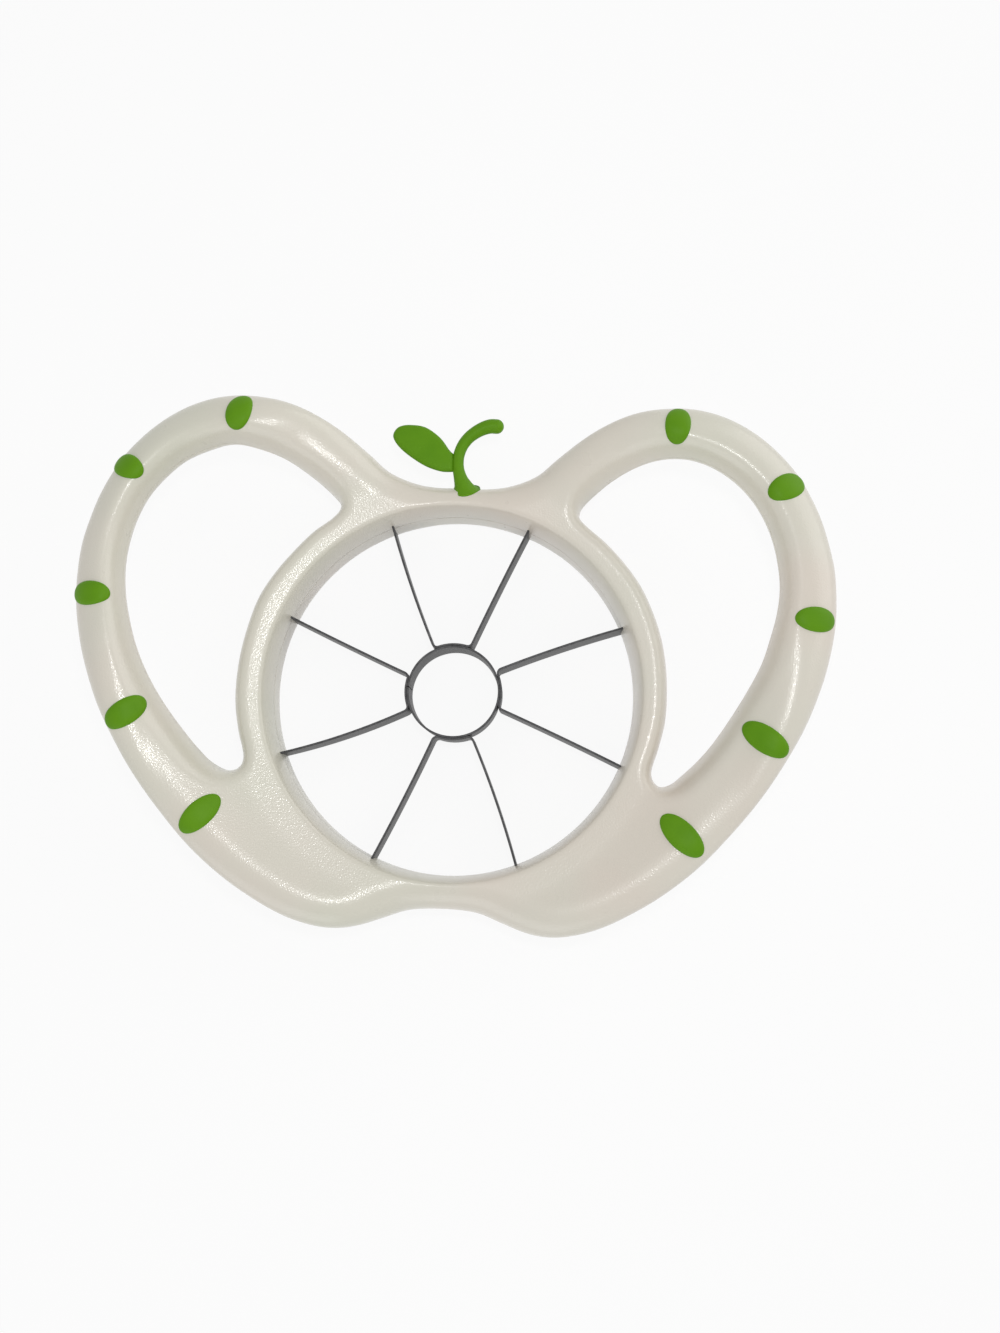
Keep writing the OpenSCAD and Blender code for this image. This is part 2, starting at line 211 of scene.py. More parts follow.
class PlanField:
    """Distance to the nearest of some outlines on a grid, read with smooth interpolation.

    With the sign 1 it is positive inside the outlines, and with -1 outside them.
    """

    margin = 2

    def __init__(self, curves, sign):
        gx, gy = np.meshgrid(*plan_axes(), indexing="ij")
        flat = np.stack([gx.ravel(), gy.ravel()], 1)
        inside = np.max([signed_distance(flat, curve) for curve in curves], axis=0)
        self.value = sign * inside.reshape(gx.shape)
        self.padded = np.pad(self.value, self.margin, mode="edge")

    def at(self, x, y):
        u = x / GRID + GRID_HALF + self.margin
        v = (y - GRID_Y0) / GRID + self.margin
        i = np.clip(np.floor(u).astype(int), 1, self.padded.shape[0] - 3)
        j = np.clip(np.floor(v).astype(int), 1, self.padded.shape[1] - 3)
        wu = cubic_weights(u - i)
        wv = cubic_weights(v - j)
        total = np.zeros_like(u)
        for m in range(4):
            for n in range(4):
                total += wu[m] * wv[n] * self.padded[i + m - 1, j + n - 1]
        return total


def cubic_weights(t):
    return [
        0.5 * (-t + 2 * t**2 - t**3),
        0.5 * (2 - 5 * t**2 + 3 * t**3),
        0.5 * (t + 4 * t**2 - 3 * t**3),
        0.5 * (-(t**2) + t**3),
    ]


outer_field = PlanField([outer_curve()], 1.0)
opening_field = PlanField(opening_curves(), -1.0)


def frame_value(d_outer, d_opening, r, z):
    """Below zero inside the frame, above zero outside it."""
    rise = z - seam_height(r)
    q = rise / (half_height(r) + np.where(rise > 0, top_lift(r), 0))
    bore_edge = np.where(q > 0, EDGE_BORE, EDGE_FOOT)
    opening_edge = np.where(q > 0, EDGE_OPENING, EDGE_OPENING_UNDER)
    a = np.maximum(0, 1 - d_outer / EDGE_OUTER)
    b = np.maximum(0, 1 - d_opening / opening_edge)
    c = np.maximum(0, 1 - (r - BORE_R) / bore_edge)
    n = SQUARENESS
    return (a**n + b**LIP_SQUARENESS + c**n + np.abs(q)**n) ** (1 / n) - 1


def frame_at(p):
    x, y, z = p[:, 0], p[:, 1], p[:, 2]
    return frame_value(outer_field.at(x, y), opening_field.at(x, y), np.hypot(x, y), z)


def frame_gradient(p):
    step = 0.02
    out = np.empty_like(p)
    for axis in range(3):
        shift = np.zeros(3)
        shift[axis] = step
        out[:, axis] = (frame_at(p + shift) - frame_at(p - shift)) / (2 * step)
    return out


def onto_frame(p, rounds=3, reach=0.5):
    """Moves points along the gradient until they lie on the frame's surface."""
    p = p.copy()
    for _ in range(rounds):
        g = frame_gradient(p)
        move = frame_at(p)[:, None] * g / np.maximum((g**2).sum(1, keepdims=True), TINY)
        size = np.linalg.norm(move, axis=1, keepdims=True)
        p -= move * np.minimum(1, reach / np.maximum(size, TINY))
    return p


def frame_grid_values():
    xs, ys = plan_axes()
    zs = GRID_Z0 + np.arange(GRID_NZ) * GRID
    r = np.hypot(xs[:, None], ys[None])
    outer, opening = outer_field.value[..., None], opening_field.value[..., None]
    value = frame_value(outer, opening, r[..., None], zs[None, None])
    return value, np.array([xs[0], ys[0], zs[0]])


def surface_net(value, origin, step):
    """Quads around the zero level of a grid of values, with one point per crossed cell."""
    inside = value < 0
    shape = np.array(value.shape)
    cells = []
    points = []
    quads = []
    for axis in range(3):
        low = [slice(None)] * 3
        high = [slice(None)] * 3
        low[axis] = slice(0, -1)
        high[axis] = slice(1, None)
        va, vb = value[tuple(low)], value[tuple(high)]
        crossed = inside[tuple(low)] != inside[tuple(high)]
        at = np.argwhere(crossed)
        a, b = va[crossed], vb[crossed]
        point = at.astype(float)
        point[:, axis] += a / (a - b)
        u, v = [k for k in range(3) if k != axis]
        corner = []
        for du, dv in ((1, 1), (0, 1), (0, 0), (1, 0)):
            cell = at.copy()
            cell[:, u] -= du
            cell[:, v] -= dv
            index = (cell[:, 0] * shape[1] + cell[:, 1]) * shape[2] + cell[:, 2]
            corner.append(index)
            cells.append(index)
            points.append(point)
        quad = np.stack(corner, 1)
        turn = (a > 0) != (axis == 1)
        quad[turn] = quad[turn][:, ::-1]
        quads.append(quad)
    cells = np.concatenate(cells)
    points = np.concatenate(points)
    names, inverse = np.unique(cells, return_inverse=True)
    count = np.bincount(inverse)
    middle = np.stack([np.bincount(inverse, points[:, k]) / count for k in range(3)], 1)
    faces = np.searchsorted(names, np.concatenate(quads))
    return origin + middle * step, faces


def relaxed(p, faces, rounds):
    """Evens out the points along the surface and puts them back on it."""
    part_way = 0.5
    pairs = np.concatenate([faces[:, [0, 1]], faces[:, [1, 2]], faces[:, [2, 3]], faces[:, [3, 0]]])
    pairs = np.concatenate([pairs, pairs[:, ::-1]])
    start, end = pairs.T
    count = np.bincount(start, minlength=len(p))[:, None]
    for _ in range(rounds):
        total = np.stack([np.bincount(start, p[end, k], minlength=len(p)) for k in range(3)], 1)
        step = part_way * (total / count - p)
        normal = frame_gradient(p)
        normal /= np.maximum(np.linalg.norm(normal, axis=1, keepdims=True), TINY)
        step -= normal * (step * normal).sum(1, keepdims=True)
        p = onto_frame(p + step, rounds=1)
    return p


def mesh_object(name, points, faces, sharp_deg=None):
    """A smoothly shaded piece, with sharp edges where its faces meet at more than the given angle."""
    mesh = bpy.data.meshes.new(name)
    mesh.from_pydata(to_world(points).tolist(), [], [list(map(int, f)) for f in faces])
    turned = bmesh.new()
    turned.from_mesh(mesh)
    bmesh.ops.recalc_face_normals(turned, faces=turned.faces)
    turned.to_mesh(mesh)
    turned.free()
    piece = bpy.data.objects.new(name, mesh)
    bpy.context.scene.collection.objects.link(piece)
    mesh.polygons.foreach_set("use_smooth", [True] * len(mesh.polygons))
    if sharp_deg:
        mesh.set_sharp_from_angle(angle=math.radians(sharp_deg))
    mesh.update()
    return piece


def skin(rows):
    """Points and faces of a tube through rows of points, with flat ends."""
    rows = np.asarray(rows, float)
    m, n = rows.shape[:2]
    faces = []
    for i in range(m - 1):
        low, high = i * n, (i + 1) * n
        for j in range(n):
            k = (j + 1) % n
            faces.append((low + j, low + k, high + k, high + j))
    faces.append(tuple(range(n - 1, -1, -1)))
    faces.append(tuple(range((m - 1) * n, m * n)))
    return rows.reshape(-1, 3), faces


def joined(parts):
    """One list of points and one of faces from several pairs."""
    points, faces, start = [], [], 0
    for p, f in parts:
        points.append(p)
        faces += [tuple(start + k for k in face) for face in f]
        start += len(p)
    return np.concatenate(points), faces


# The frame: one smooth body, cut into two shells along the seam surface

SEAM_MOUTH = 0.13
# Depth inside the surface and height above the seam of the rows that turn a shell's edge inwards
SEAM_ROWS = [(0.03, 0.085), (0.08, 0.055), (0.16, 0.04), (0.9, 0.04), (1.0, 0.6)]
LID_RISE = 0.6
LID_STEP = 3.0
LID_CLEAR = 2.0


def frame_mesh():
    value, origin = frame_grid_values()
    points, faces = surface_net(value, origin, GRID)
    points = onto_frame(points)
    points = relaxed(points, faces, rounds=3)
    return onto_frame(points, rounds=2), faces


def above_seam(p):
    return p[:, 2] - seam_height(np.hypot(p[:, 0], p[:, 1]))


def onto_seam(p, level, rounds=4):
    """Moves points onto the frame's surface at a height above the seam."""
    for _ in range(rounds):
        p = onto_frame(p, rounds=1)
        p[:, 2] += level - above_seam(p)
    return p


def clipped(points, faces, side, level):
    """The part of a mesh on one side of the seam, and the loops of its new edge."""
    height = side * (above_seam(points) - level)
    keep = height > 0
    whole = faces[keep[faces].all(1)]
    cut = faces[keep[faces].any(1) & ~keep[faces].all(1)]
    ends = {}
    new_faces = []
    follows = {}
    for face in cut.tolist():
        ring = []
        for i, p in enumerate(face):
            q = face[(i + 1) % 4]
            if keep[p]:
                ring.append(p)
            if keep[p] != keep[q]:
                key = (min(p, q), max(p, q))
                index = ends.setdefault(key, len(points) + len(ends))
                ring.append(index)
                if keep[p]:
                    leaving = index
                else:
                    entering = index
        follows[leaving] = entering
        new_faces.append(ring)
    pairs = np.array(list(ends))
    share = (height[pairs[:, 0]] / (height[pairs[:, 0]] - height[pairs[:, 1]]))[:, None]
    fresh = points[pairs[:, 0]] * (1 - share) + points[pairs[:, 1]] * share
    points = np.concatenate([points, onto_seam(fresh, level)])
    return points, whole.tolist() + new_faces, loops_of(follows)


def loops_of(follows):
    """Closed loops of points, from a table of which point follows which."""
    loops = []
    left = dict(follows)
    while left:
        start, step = left.popitem()
        loop = [start]
        while step != start:
            loop.append(step)
            step = left.pop(step)
        loops.append(loop)
    return loops


def inward_steps(points):
    """Level directions from the frame's surface into it."""
    inward = -frame_gradient(points)
    inward[:, 2] = 0
    return inward / np.maximum(np.linalg.norm(inward, axis=1, keepdims=True), TINY)


def shell_mesh(points, faces, side):
    """One shell: its outside, a small rounded edge at the seam, and a lid inside.

    The side is 1 for the upper shell and -1 for the lower one.
    """
    points, faces, rims = clipped(points, faces, side, side * SEAM_MOUTH)
    base = points
    inward = inward_steps(base)
    loops = rims
    for depth, rise in SEAM_ROWS:
        next_loops = []
        for loop, rim in zip(loops, rims):
            row = base[rim] + depth * inward[rim]
            row[:, 2] = seam_height(np.hypot(row[:, 0], row[:, 1])) + side * rise
            start = len(points)
            n = len(rim)
            points = np.concatenate([points, row])
            for i in range(n):
                k = (i + 1) % n
                faces.append([loop[i], loop[k], start + k, start + i])
            next_loops.append(list(range(start, start + n)))
        loops = next_loops
    lid_points, lid_faces = lid_mesh(points, loops, side)
    points = np.concatenate([points, lid_points])
    return compact(points, faces + lid_faces)


def inner_grid():
    """Plan points well inside the frame's outlines."""
    half = GRID * GRID_HALF
    steps = np.arange(-half, half, LID_STEP)
    gx, gy = np.meshgrid(steps, steps, indexing="ij")
    x, y = gx.ravel(), gy.ravel()
    y = np.clip(y, GRID_Y0, GRID_Y0 + GRID * (GRID_NY - 1))
    inside = (outer_field.at(x, y) > LID_CLEAR) & (opening_field.at(x, y) > LID_CLEAR)
    inside &= np.hypot(x, y) > BORE_R + LID_CLEAR
    return np.unique(np.column_stack([x[inside], y[inside]]), axis=0)


def lid_mesh(points, loops, side):
    """Triangles that follow the seam surface inside a shell, between its rims."""
    rims = [ordered(points, loop) for loop in loops]
    index = [i for rim in rims for i in rim]
    plan = np.concatenate([points[index][:, :2], inner_grid()])
    polygons = []
    start = 0
    for rim in rims:
        polygons.append(list(range(start, start + len(rim))))
        start += len(rim)
    outside = int(np.argmax([np.abs(points[rim][:, 0]).max() for rim in rims]))
    all_triangles = 0
    same_point = 1e-6
    places = [Vector(p) for p in plan.tolist()]
    result = delaunay_2d_cdt(places, [], polygons, all_triangles, same_point)
    flat, triangles, sources, owners = result[0], result[2], result[3], result[5]
    fresh = len(points)
    number = []
    added = []
    for place, source in zip(flat, sources):
        if source and source[0] < len(index):
            number.append(index[source[0]])
        else:
            number.append(fresh + len(added))
            added.append((place.x, place.y, seam_height(math.hypot(place.x, place.y)) + side * LID_RISE))
    kept = [[number[i] for i in face] for face, owner in zip(triangles, owners) if owner == [outside]]
    return np.array(added), kept


def ordered(points, loop):
    """The loop, turned anticlockwise as seen from above."""
    x, y = points[loop][:, 0], points[loop][:, 1]
    area = (x * np.roll(y, -1) - np.roll(x, -1) * y).sum()
    return loop if area > 0 else loop[::-1]


def compact(points, faces):
    """The same mesh without the points that no face uses."""
    used = np.unique(np.concatenate([np.asarray(f) for f in faces]))
    number = np.full(len(points), -1)
    number[used] = np.arange(len(used))
    return points[used], [number[f].tolist() for f in faces]


# Pads on the frame: place from above, direction of the long axis, length and width

PADS = {
    "grip_right_1": (49.9, 61.2, 86, 9.9, 5.85),
    "grip_right_2": (74.9, 47.2, 28, 10.2, 6),
    "grip_right_3": (81.2, 16.8, -2, 10, 5.7),
    "grip_right_4": (70.5, -9.9, -31, 12.2, 5.9),
    "grip_right_5": (53.2, -31.6, -43, 12.5, 6.15),
    "grip_left_1": (-51.2, 61.2, 80, 9.7, 5.85),
    "grip_left_2": (-76.3, 47.2, 153, 9.2, 5.7),
    "grip_left_3": (-81.9, 17, 181, 10.1, 5.6),
    "grip_left_4": (-71.9, -9.4, 216, 11.1, 5.75),
    "grip_left_5": (-54.8, -31.2, 227, 11.4, 5.8),
}
PAD_PROUD = 0.85
PAD_SINK = 1.0
# The higher, the flatter the pad's middle
PAD_FLATNESS = 3.4
PAD_SIDES = 56
# Rings of points from the middle to the edge, as shares of the way, and the longest step in between
PAD_SHARES = [0.05, 0.2, 0.4, 0.6, 0.75, 0.86, 0.93, 0.97, 0.99, 1.0]
PAD_WALK = 0.06


def unit(v):
    return v / np.linalg.norm(v, axis=-1, keepdims=True)


def top_point(x, y, rounds=30):
    """The point of the frame's top surface at a place seen from above."""
    r = np.hypot(x, y)
    p = np.array([[x, y, seam_height(r) + half_height(r)]])
    for _ in range(rounds):
        p[0, 2] -= frame_at(p)[0] / frame_gradient(p)[0, 2]
    return p[0]


def pad_mesh(x, y, turn_deg, length, width):
    """A soft oval that follows the frame's surface, sunk into it at the edge."""
    middle = top_point(x, y)
    normal = unit(frame_gradient(middle[None]))[0]
    turn_rad = math.radians(turn_deg)
    along = np.array([math.cos(turn_rad), math.sin(turn_rad), 0])
    along = unit(along - normal * along.dot(normal))
    across = np.cross(normal, along)
    a = np.linspace(0, 2 * math.pi, PAD_SIDES, endpoint=False)
    oval = (np.cos(a)[:, None] * along * length + np.sin(a)[:, None] * across * width) / 2
    rows = []
    for base, share in walked(middle, oval, PAD_SHARES):
        height = PAD_PROUD * (1 - share**PAD_FLATNESS) ** 0.5
        rows.append(base + height * unit(frame_gradient(base)))
    for base, _ in walked(middle, oval, PAD_SHARES[::-1]):
        rows.append(base - PAD_SINK * unit(frame_gradient(base)))
    return skin(rows)


def walked(middle, oval, shares):
    """Rings of points on the frame's surface, reached by walking from the middle along it."""
    place = np.repeat(middle[None], len(oval), axis=0)
    reach = np.linalg.norm(oval, axis=1, keepdims=True)
    heading = oval / reach
    rings = {}
    done = 0.0
    for share in sorted(shares):
        parts = max(1, math.ceil((share - done) / PAD_WALK))
        for _ in range(parts):
            normal = unit(frame_gradient(place))
            heading = unit(heading - normal * (heading * normal).sum(1, keepdims=True))
            place = onto_frame(place + heading * reach * (share - done) / parts, rounds=2)
        done = share
        rings[share] = place.copy()
    return [(rings[share], share) for share in shares]


# Stem and leaf. The stem is given by its middle line and its radius.

STEM = [
    (0.6, 48.7, 12.1, 3.4), (0.55, 49, 12.35, 3.95), (0.5, 49.25, 12.5, 4.05), (0.45, 49.45, 12.65, 3.9),
    (0.4, 49.75, 12.85, 3.2), (0.3, 50.15, 13.1, 2.6), (0.1, 50.75, 13.4, 2.15), (-0.25, 51.6, 13.7, 1.8),
    (-0.65, 52.8, 14, 1.56), (-1.05, 54.4, 14.1, 1.42), (-1.2, 56.4, 14.1, 1.38), (-0.95, 58.5, 14.1, 1.4),
    (-0.15, 60.6, 14.1, 1.42), (1.2, 62.5, 14.1, 1.47), (2.9, 63.95, 14.1, 1.55), (4.7, 65, 14.1, 1.65),
    (6.4, 65.55, 14.1, 1.74), (7.9, 65.55, 14.1, 1.76),
]
STEM_SPAN_POINTS = 6
STEM_SIDES = 32
# Turns in degrees of the rows that round off the stem's tip
STEM_TIP_TURNS = (12, 24, 36, 48, 60, 70, 79, 86)
LEAF = [
    (-2.2, 53.6), (-5.2, 53.6), (-9.1, 54.8), (-13, 57.1), (-15.9, 59.5), (-17.4, 61.7), (-17.3, 63.3),
    (-16, 64.7), (-13.4, 65.2), (-9.6, 64.7), (-5.9, 62.2), (-3.4, 59), (-2.2, 57.9),
]
LEAF_SPAN_POINTS = 8
LEAF_MIDDLE = (-9.8, 59.6)
# The innermost row keeps this share of the way from the leaf's middle to its outline
LEAF_LEAST_SHARE = 0.06
LEAF_Z = 14.2
LEAF_HALF = 1.1
# Distance inside the outline and height as a share of LEAF_HALF, over the top and back underneath
LEAF_SECTION = [
    (5.0, 1.12), (3.6, 1.1), (2.4, 1.04), (1.5, 0.98), (0.9, 0.9), (0.5, 0.76), (0.25, 0.56), (0.08, 0.32),
    (0, 0), (0.08, -0.32), (0.25, -0.56), (0.5, -0.76), (0.9, -0.9), (2.4, -1.0), (5.0, -1.0),
]


def tube_rows(path, sides):
    """Circles square to a path, given as points with a radius."""
    path = np.asarray(path, float)
    heading = unit(np.gradient(path[:, :3], axis=0))
    side = unit(np.cross(heading, (0, 0, 1)))
    up = np.cross(side, heading)
    a = np.linspace(0, 2 * math.pi, sides, endpoint=False)[None, :, None]
    return path[:, None, :3] + path[:, None, 3:] * (np.cos(a) * side[:, None] + np.sin(a) * up[:, None])


def stem_mesh():
    path = smooth_curve(STEM, STEM_SPAN_POINTS, closed=False)
    heading = unit(path[-1, :3] - path[-2, :3])
    radius = path[-1, 3]
    tip = []
    for deg in STEM_TIP_TURNS:
        a = math.radians(deg)
        tip.append([*(path[-1, :3] + heading * radius * math.sin(a)), radius * math.cos(a)])
    return skin(tube_rows(np.concatenate([path, tip]), STEM_SIDES))


def leaf_mesh():
    """A thin leaf with soft edges and a slightly raised middle."""
    outline = smooth_curve(LEAF, LEAF_SPAN_POINTS, closed=False)[:-1]
    middle = np.array(LEAF_MIDDLE)
    away = outline - middle
    reach = np.linalg.norm(away, axis=1, keepdims=True)
    rows = []
    for inset, height in LEAF_SECTION:
        flat = middle + away * np.maximum(1 - inset / reach, LEAF_LEAST_SHARE)
        rows.append(np.column_stack([flat, np.full(len(flat), LEAF_Z + LEAF_HALF * height)]))
    return skin(rows)


# Blades and core ring. Each strip hugs the core ring, bends off it and makes two spokes, whose
# ends are narrower tabs inside the frame.

STRIP = 0.5
BLADE_LOW = 0.5
BLADE_HIGH = 10.5
TAB_LOW = 3.0
TAB_HIGH = 9.0
CORE_R = 10.75
HUG_R = 11.52
BEND_R = 1.2
HALF_ANGLE = 22.5
SPOKE_END = 44.4
TAB_SHOULDER = 0.05
TAB_END = 48.6
HUG_STEPS = 7
BEND_STEPS = 12
SPOKE_STEPS = 24
# The bevel of the top edge, the height of the ground face, and the cutting edge's half width and rise
BEVEL = 0.08
GROUND = 1.3
CUT_HALF = 0.12
CUT_RISE = 0.1
# The core ring's butt seam: where it is and half of its gap, in degrees
BUTT_AT = 176.0
BUTT_HALF_GAP = 0.55
CORE_STEPS = 180
# Weld marks inside the core ring: turn from a strip's middle in degrees and height, and for the
# rows of points that make a mark, radius and how far they stand inside the ring
WELDS = ((-9, 7.6), (8, 5.2))
WELD_ROWS = ((0.03, 0.07), (0.25, 0.06), (0.38, 0.03), (0.45, -0.05), (0.03, -0.08))
WELD_SIDES = 14
STEEL_SHARP_DEG = 30
# Faces that lie less than this below the top get the painted dark reflection
PAINTED_DARK_BAND = 0.1
# For each strip the way it faces in degrees, and how far its left and its right spoke lie from
# their straight lines, away from the strip's middle: at the core ring, halfway and at the frame.
# The real blades are bent by hand and differ a little.
SPOKES = {
    "right": (0, (1.2, 1.1, 0.2), (-0.9, -0.8, -0.4)),
    "top": (90, (0.8, 0.9, 0.1), (-0.8, -0.6, -0.1)),
    "left": (180, (0.4, 0.75, -0.5), (-0.75, -0.5, 0.0)),
    "bottom": (270, (0.45, 0.65, -0.2), (-0.4, -0.15, 0.6)),
}


def strip_section(low, high):
    """Section of a blade: bevelled at the top, ground to an edge at the bottom, as offset and height."""
    half = STRIP / 2
    right = [(CUT_HALF, low + CUT_RISE), (half, low + GROUND), (half, high - BEVEL), (half - BEVEL, high)]
    left = [(-d, z) for d, z in reversed(right)]
    return [(0.0, low)] + right + left


def beside_spoke(r, off):
    """The place at a distance along a spoke's straight line and an offset from it."""
    out = math.radians(HALF_ANGLE)
    return r * math.cos(out) - off * math.sin(out), r * math.sin(out) + off * math.cos(out)


def strip_line(offsets):
    """Middle line of half a strip, from the core ring's side outwards: place and heights."""
    near, middle, far = offsets
    start = math.sqrt(HUG_R * (HUG_R + 2 * BEND_R))
    leaves = math.radians(HALF_ANGLE) + near / start
    bend_turn = math.asin(BEND_R / (HUG_R + BEND_R))
    half_hug = leaves - bend_turn
    line = []
    for i in range(HUG_STEPS):
        a = half_hug * i / HUG_STEPS
        line.append((HUG_R * math.cos(a), HUG_R * math.sin(a), BLADE_LOW, BLADE_HIGH))
    centre = np.array([math.cos(half_hug), math.sin(half_hug)]) * (HUG_R + BEND_R)
    sweep = math.pi / 2 - bend_turn
    for i in range(BEND_STEPS + 1):
        a = half_hug + math.pi - sweep * i / BEND_STEPS
        x, y = centre + BEND_R * np.array([math.cos(a), math.sin(a)])
        line.append((x, y, BLADE_LOW, BLADE_HIGH))
    for i in range(1, SPOKE_STEPS + 1):
        t = i / SPOKE_STEPS
        r = start + (SPOKE_END - start) * t
        off = near * (1 - t) * (1 - 2 * t) + 4 * middle * t * (1 - t) + far * t * (2 * t - 1)
        line.append((*beside_spoke(r, off), BLADE_LOW, BLADE_HIGH))
    for r in (SPOKE_END + TAB_SHOULDER, TAB_END):
        line.append((*beside_spoke(r, far), TAB_LOW, TAB_HIGH))
    return line


def spun(points, deg):
    """Points turned about the ring's axis."""
    c, s = math.cos(math.radians(deg)), math.sin(math.radians(deg))
    x, y, z = points.T
    return np.column_stack([c * x - s * y, s * x + c * y, z])


def strip_mesh(facing_deg, left_offsets, right_offsets):
    """One strip, with its two spokes left and right of the way that it faces."""
    half = strip_line(left_offsets)
    other = [(x, -y, low, high) for x, y, low, high in strip_line(right_offsets)[:0:-1]]
    line = np.array(other + half)
    step = np.gradient(line[:, :2], axis=0)
    across = unit(np.column_stack([-step[:, 1], step[:, 0]]))
    rows = []
    for (x, y, low, high), (nx, ny) in zip(line, across):
        rows.append([(x + d * nx, y + d * ny, z) for d, z in strip_section(low, high)])
    points, faces = skin(rows)
    return spun(points, facing_deg), faces


def core_mesh():
    """The rolled core ring, open at its butt seam, with small weld marks on its inside."""
    turns_deg = np.linspace(BUTT_AT + BUTT_HALF_GAP, BUTT_AT + 360 - BUTT_HALF_GAP, CORE_STEPS)
    section = strip_section(BLADE_LOW, BLADE_HIGH)
    middle = CORE_R + STRIP / 2
    rows = []
    for a in np.radians(turns_deg):
        rows.append([((middle + d) * math.cos(a), (middle + d) * math.sin(a), z) for d, z in section])
    parts = [skin(rows)]
    for facing_deg, _, _ in SPOKES.values():
        for off_deg, height in WELDS:
            parts.append(weld_mark(facing_deg + off_deg, height))
    return joined(parts)


def weld_mark(deg, height):
    a = np.linspace(0, 2 * math.pi, WELD_SIDES, endpoint=False)
    rows = []
    for size, depth in WELD_ROWS:
        r = np.full(len(a), CORE_R - depth)
        rows.append(np.column_stack([r, size * np.cos(a), height + size * np.sin(a)]))
    points, faces = skin(rows)
    return spun(points, deg), faces


# Materials

# Share of plain white in the floor where it is seen directly, and the world's strength as a lamp
# and where it is seen directly
FLOOR_WHITE = 0.9
WORLD_LIGHT = 0.49
WORLD_WHITE = 0.97


def grey(value):
    return (value, value, value, 1)


def new_material(name):
    material = bpy.data.materials.new(name)
    material.use_nodes = True
    tree = material.node_tree
    shader = next(n for n in tree.nodes if n.type == "BSDF_PRINCIPLED")
    return material, tree, shader


def add_node(tree, kind, **values):
    """A new node, with values for its sockets or its own settings."""
    node = tree.nodes.new(kind)
    for key, value in values.items():
        if key in node.inputs:
            node.inputs[key].default_value = value
        else:
            setattr(node, key, value)
    return node


def noise(tree, scale, detail):
    """The output of a noise texture in the object's own space."""
    place = add_node(tree, "ShaderNodeTexCoord")
    texture = add_node(tree, "ShaderNodeTexNoise", Scale=scale, Detail=detail, Roughness=0.5)
    tree.links.new(place.outputs["Object"], texture.inputs["Vector"])
    return texture.outputs["Fac"]


def vary(tree, socket, source, stops):
    """Feeds a socket from a texture through a ramp, given as positions and colours."""
    node = add_node(tree, "ShaderNodeValToRGB")
    elements = node.color_ramp.elements
    while len(elements) > 1:
        elements.remove(elements[-1])
    elements[0].position = stops[0][0]
    elements[0].color = stops[0][1]
    for position, colour in stops[1:]:
        elements.new(position).color = colour
    tree.links.new(source, node.inputs["Fac"])
    tree.links.new(node.outputs["Color"], socket)


def bump(tree, shader, height, strength, distance):
    node = add_node(tree, "ShaderNodeBump", Strength=strength, Distance=distance)
    tree.links.new(height, node.inputs["Height"])
    tree.links.new(node.outputs["Normal"], shader.inputs["Normal"])
    return node


def ivory_material():
    """Glossy plastic, a little blotchy, with a fine grain that breaks up its highlights."""
    material, tree, shader = new_material("ivory_plastic")
    vary(tree, shader.inputs["Base Color"], noise(tree, scale=28.0, detail=2.0), [
        (0.32, (0.70, 0.69, 0.585, 1)),
        (0.52, (0.735, 0.70, 0.61, 1)),
        (0.70, (0.75, 0.685, 0.60, 1)),
    ])
    vary(tree, shader.inputs["Roughness"], noise(tree, scale=160.0, detail=4.0), [
        (0.3, grey(0.27)),
        (0.7, grey(0.34)),
    ])
    grain = bump(tree, shader, noise(tree, scale=2500.0, detail=1.0), strength=0.6, distance=0.00007)
    tree.links.new(grain.outputs["Normal"], shader.inputs["Coat Normal"])
    shader.inputs["IOR"].default_value = 1.5
    shader.inputs["Coat Weight"].default_value = 0.3
    shader.inputs["Coat Roughness"].default_value = 0.12
    return material


def green_material():
    """Satin green of the pads, the stem and the leaf."""
    material, tree, shader = new_material("green_rubber")
    vary(tree, shader.inputs["Base Color"], noise(tree, scale=120.0, detail=2.0), [
        (0.3, (0.104, 0.28, 0.004, 1)),
        (0.7, (0.128, 0.32, 0.006, 1)),
    ])
    bump(tree, shader, noise(tree, scale=5200.0, detail=2.0), strength=0.25, distance=0.00004)
    shader.inputs["Roughness"].default_value = 0.5
    shader.inputs["IOR"].default_value = 1.45
    shader.inputs["Specular IOR Level"].default_value = 0.2
    return material


def steel_material():
    """Brushed steel, with its lines along the blades."""
    material, tree, shader = new_material("brushed_steel")
    place = add_node(tree, "ShaderNodeTexCoord")
    stretch = add_node(tree, "ShaderNodeMapping")
    stretch.inputs["Scale"].default_value = (1.0, 1.0, 22.0)
    tree.links.new(place.outputs["Object"], stretch.inputs["Vector"])
    texture = add_node(tree, "ShaderNodeTexNoise", Scale=260.0, Detail=5.0, Roughness=0.65)
    tree.links.new(stretch.outputs["Vector"], texture.inputs["Vector"])
    lines = texture.outputs["Fac"]
    vary(tree, shader.inputs["Base Color"], lines, [
        (0.3, (0.27, 0.27, 0.273, 1)),
        (0.7, (0.38, 0.38, 0.383, 1)),
    ])
    vary(tree, shader.inputs["Roughness"], lines, [
        (0.25, grey(0.27)),
        (0.75, grey(0.42)),
    ])
    bump(tree, shader, lines, strength=0.3, distance=0.00003)
    shader.inputs["Metallic"].default_value = 1.0
    # Steel seen at a low angle stays mid-grey
    shader.inputs["Specular Tint"].default_value = grey(0.3)
    return material


def top_painted_dark_material():
    """Dark, matt steel for the top of the blades: a painted dark reflection of what stands above them."""
    material, tree, shader = new_material("steel_top_painted_dark")
    vary(tree, shader.inputs["Base Color"], noise(tree, scale=900.0, detail=3.0), [
        (0.35, (0.055, 0.055, 0.057, 1)),
        (0.65, (0.095, 0.095, 0.098, 1)),
    ])
    shader.inputs["Metallic"].default_value = 0.6
    shader.inputs["Roughness"].default_value = 0.62
    return material


